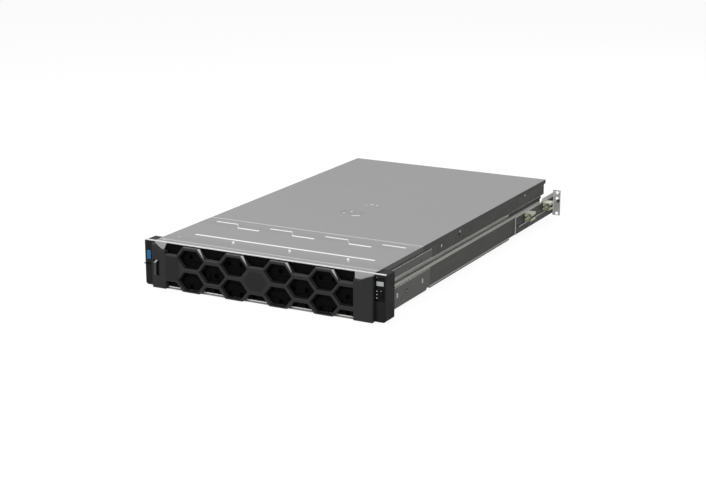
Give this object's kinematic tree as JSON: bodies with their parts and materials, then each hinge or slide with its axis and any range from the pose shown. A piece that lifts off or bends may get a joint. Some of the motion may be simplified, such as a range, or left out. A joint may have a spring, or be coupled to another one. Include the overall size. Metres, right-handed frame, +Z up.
{
  "type": "rack server",
  "caption": "Flat rack-mounted server with a honeycomb front bezel, ears with controls, covers, fans, drives, power supplies and telescoping slide rails.",
  "frame": {"origin": "on the bottom face of the chassis, midway across it, in the plane of the rack's front posts (the ears' back faces)", "axes": "+X to the right seen from the front, +Y to the rear, +Z up"},
  "size_m": [0.4844, 0.8184, 0.0867],
  "materials": {
    "cover_steel": "satin zinc-grey sheet",
    "chassis_steel": "galvanised sheet",
    "bright_steel": "bright zinc",
    "black_plastic": "fine moulded grain",
    "latch_grey": "satin",
    "panel_black": "gloss",
    "display_grey": "gloss",
    "release_blue": "satin",
    "latch_orange": "satin",
    "drive_metal": "cast",
    "psu_metal": "sheet",
    "board_green": "solder mask",
    "port_metal": "tinned",
    "rail_steel": "zinc passivated",
    "glide_white": "satin",
    "zinc_yellow": "yellow zinc"
  },
  "bodies": {
    "chassis": {"chassis_pan": "chassis_steel", "front_frame": "bright_steel", "front_cover": "cover_steel", "rear_panel": "chassis_steel", "right_ear": "black_plastic", "control_panel": "panel_black", "display_window": "display_grey", "indicator_lenses": "display_grey", "left_ear": "black_plastic", "ear_brackets": "chassis_steel", "fasteners": "bright_steel", "drive_cage": "chassis_steel", "backplane": "board_green", "fan_wall": "chassis_steel", "drive_carriers": "black_plastic", "drive_handles": "latch_grey", "hard_drives": "drive_metal", "fan_housings": "black_plastic", "system_board": "board_green", "memory_modules": "board_green", "standoffs": "bright_steel", "heatsinks": "drive_metal", "air_duct": "black_plastic", "power_bay": "chassis_steel", "slot_covers": "chassis_steel", "riser_cages": "chassis_steel", "rear_ports": "port_metal", "inner_rails": "rail_steel"},
    "main_cover": {"main_cover": "cover_steel"},
    "bezel": {"bezel": "black_plastic"},
    "bezel_latch": {"bezel_latch": "latch_grey"},
    "release_button": {"release_button": "release_blue"},
    "info_tag": {"info_tag": "black_plastic"},
    "power_button": {"power_button": "panel_black"},
    "identify_button": {"identify_button": "panel_black"},
    "fan_1": {"fan_rotor_1": "black_plastic"},
    "fan_2": {"fan_rotor_2": "black_plastic"},
    "fan_3": {"fan_rotor_3": "black_plastic"},
    "fan_4": {"fan_rotor_4": "black_plastic"},
    "psu_1": {"psu_case_1": "psu_metal", "psu_handle_1": "black_plastic"},
    "psu_latch_1": {"psu_latch_1": "latch_orange"},
    "psu_2": {"psu_case_2": "psu_metal", "psu_handle_2": "black_plastic"},
    "psu_latch_2": {"psu_latch_2": "latch_orange"},
    "middle_rail_right": {"middle_rail_right": "rail_steel", "glide_strips_right": "glide_white"},
    "outer_rail_right": {"outer_rail_right": "rail_steel", "front_bracket_right": "rail_steel", "guide_clip_right": "zinc_yellow"},
    "rear_bracket_right": {"rear_bracket_right": "rail_steel", "end_clip_right": "zinc_yellow"},
    "middle_rail_left": {"middle_rail_left": "rail_steel", "glide_strips_left": "glide_white"},
    "outer_rail_left": {"outer_rail_left": "rail_steel", "front_bracket_left": "rail_steel", "guide_clip_left": "zinc_yellow"},
    "rear_bracket_left": {"rear_bracket_left": "rail_steel", "end_clip_left": "zinc_yellow"}
  },
  "joints": [
    {"name": "cover_lift", "type": "slide", "parent": "chassis", "child": "main_cover", "axis": [0, 0, 1], "range_m": [0, 0.12]},
    {"name": "bezel_swing", "type": "hinge", "parent": "chassis", "child": "bezel", "pos_m": [0.221, -0.0334, 0.0421], "axis": [0, 0, 1], "range_deg": [0, 40]},
    {"name": "bezel_latch_turn", "type": "hinge", "parent": "bezel", "child": "bezel_latch", "pos_m": [-0.218, -0.0399, 0.0385], "axis": [0, 0, 1], "range_deg": [0, 15], "stiffness_Nm_per_rad": 0.02},
    {"name": "release_press", "type": "slide", "parent": "chassis", "child": "release_button", "axis": [0, 1, 0], "range_m": [0, 0.002], "stiffness_N_per_m": 300},
    {"name": "tag_pull", "type": "slide", "parent": "chassis", "child": "info_tag", "axis": [0, -1, 0], "range_m": [0, 0.022]},
    {"name": "power_press", "type": "slide", "parent": "chassis", "child": "power_button", "axis": [0, 1, 0], "range_m": [0, 0.001], "stiffness_N_per_m": 300},
    {"name": "identify_press", "type": "slide", "parent": "chassis", "child": "identify_button", "axis": [0, 1, 0], "range_m": [0, 0.001], "stiffness_N_per_m": 300},
    {"name": "fan_spin_1", "type": "hinge", "parent": "chassis", "child": "fan_1", "pos_m": [-0.15, 0.189, 0.0412], "axis": [0, 1, 0], "continuous": true},
    {"name": "fan_spin_2", "type": "hinge", "parent": "chassis", "child": "fan_2", "pos_m": [-0.05, 0.189, 0.0412], "axis": [0, 1, 0], "continuous": true},
    {"name": "fan_spin_3", "type": "hinge", "parent": "chassis", "child": "fan_3", "pos_m": [0.05, 0.189, 0.0412], "axis": [0, 1, 0], "continuous": true},
    {"name": "fan_spin_4", "type": "hinge", "parent": "chassis", "child": "fan_4", "pos_m": [0.15, 0.189, 0.0412], "axis": [0, 1, 0], "continuous": true},
    {"name": "psu_1_slide", "type": "slide", "parent": "chassis", "child": "psu_1", "axis": [0, 1, 0], "range_m": [0, 0.2]},
    {"name": "psu_1_latch_squeeze", "type": "slide", "parent": "psu_1", "child": "psu_latch_1", "axis": [-1, 0, 0], "range_m": [0, 0.003], "stiffness_N_per_m": 300},
    {"name": "psu_2_slide", "type": "slide", "parent": "chassis", "child": "psu_2", "axis": [0, 1, 0], "range_m": [0, 0.2]},
    {"name": "psu_2_latch_squeeze", "type": "slide", "parent": "psu_2", "child": "psu_latch_2", "axis": [-1, 0, 0], "range_m": [0, 0.003], "stiffness_N_per_m": 300},
    {"name": "middle_rail_right_slide", "type": "slide", "parent": "chassis", "child": "middle_rail_right", "axis": [0, 1, 0], "range_m": [0, 0.33]},
    {"name": "outer_rail_right_slide", "type": "slide", "parent": "middle_rail_right", "child": "outer_rail_right", "axis": [0, 1, 0], "range_m": [0, 0.33]},
    {"name": "rear_bracket_right_slide", "type": "slide", "parent": "outer_rail_right", "child": "rear_bracket_right", "axis": [0, 1, 0], "range_m": [-0.03, 0.045]},
    {"name": "middle_rail_left_slide", "type": "slide", "parent": "chassis", "child": "middle_rail_left", "axis": [0, 1, 0], "range_m": [0, 0.33]},
    {"name": "outer_rail_left_slide", "type": "slide", "parent": "middle_rail_left", "child": "outer_rail_left", "axis": [0, 1, 0], "range_m": [0, 0.33]},
    {"name": "rear_bracket_left_slide", "type": "slide", "parent": "outer_rail_left", "child": "rear_bracket_left", "axis": [0, 1, 0], "range_m": [-0.03, 0.045]}
  ],
  "couplings": [
    {"joint": "outer_rail_right_slide", "follows": "middle_rail_right_slide", "ratio": 1},
    {"joint": "middle_rail_left_slide", "follows": "middle_rail_right_slide", "ratio": 1},
    {"joint": "outer_rail_left_slide", "follows": "middle_rail_right_slide", "ratio": 1}
  ]
}
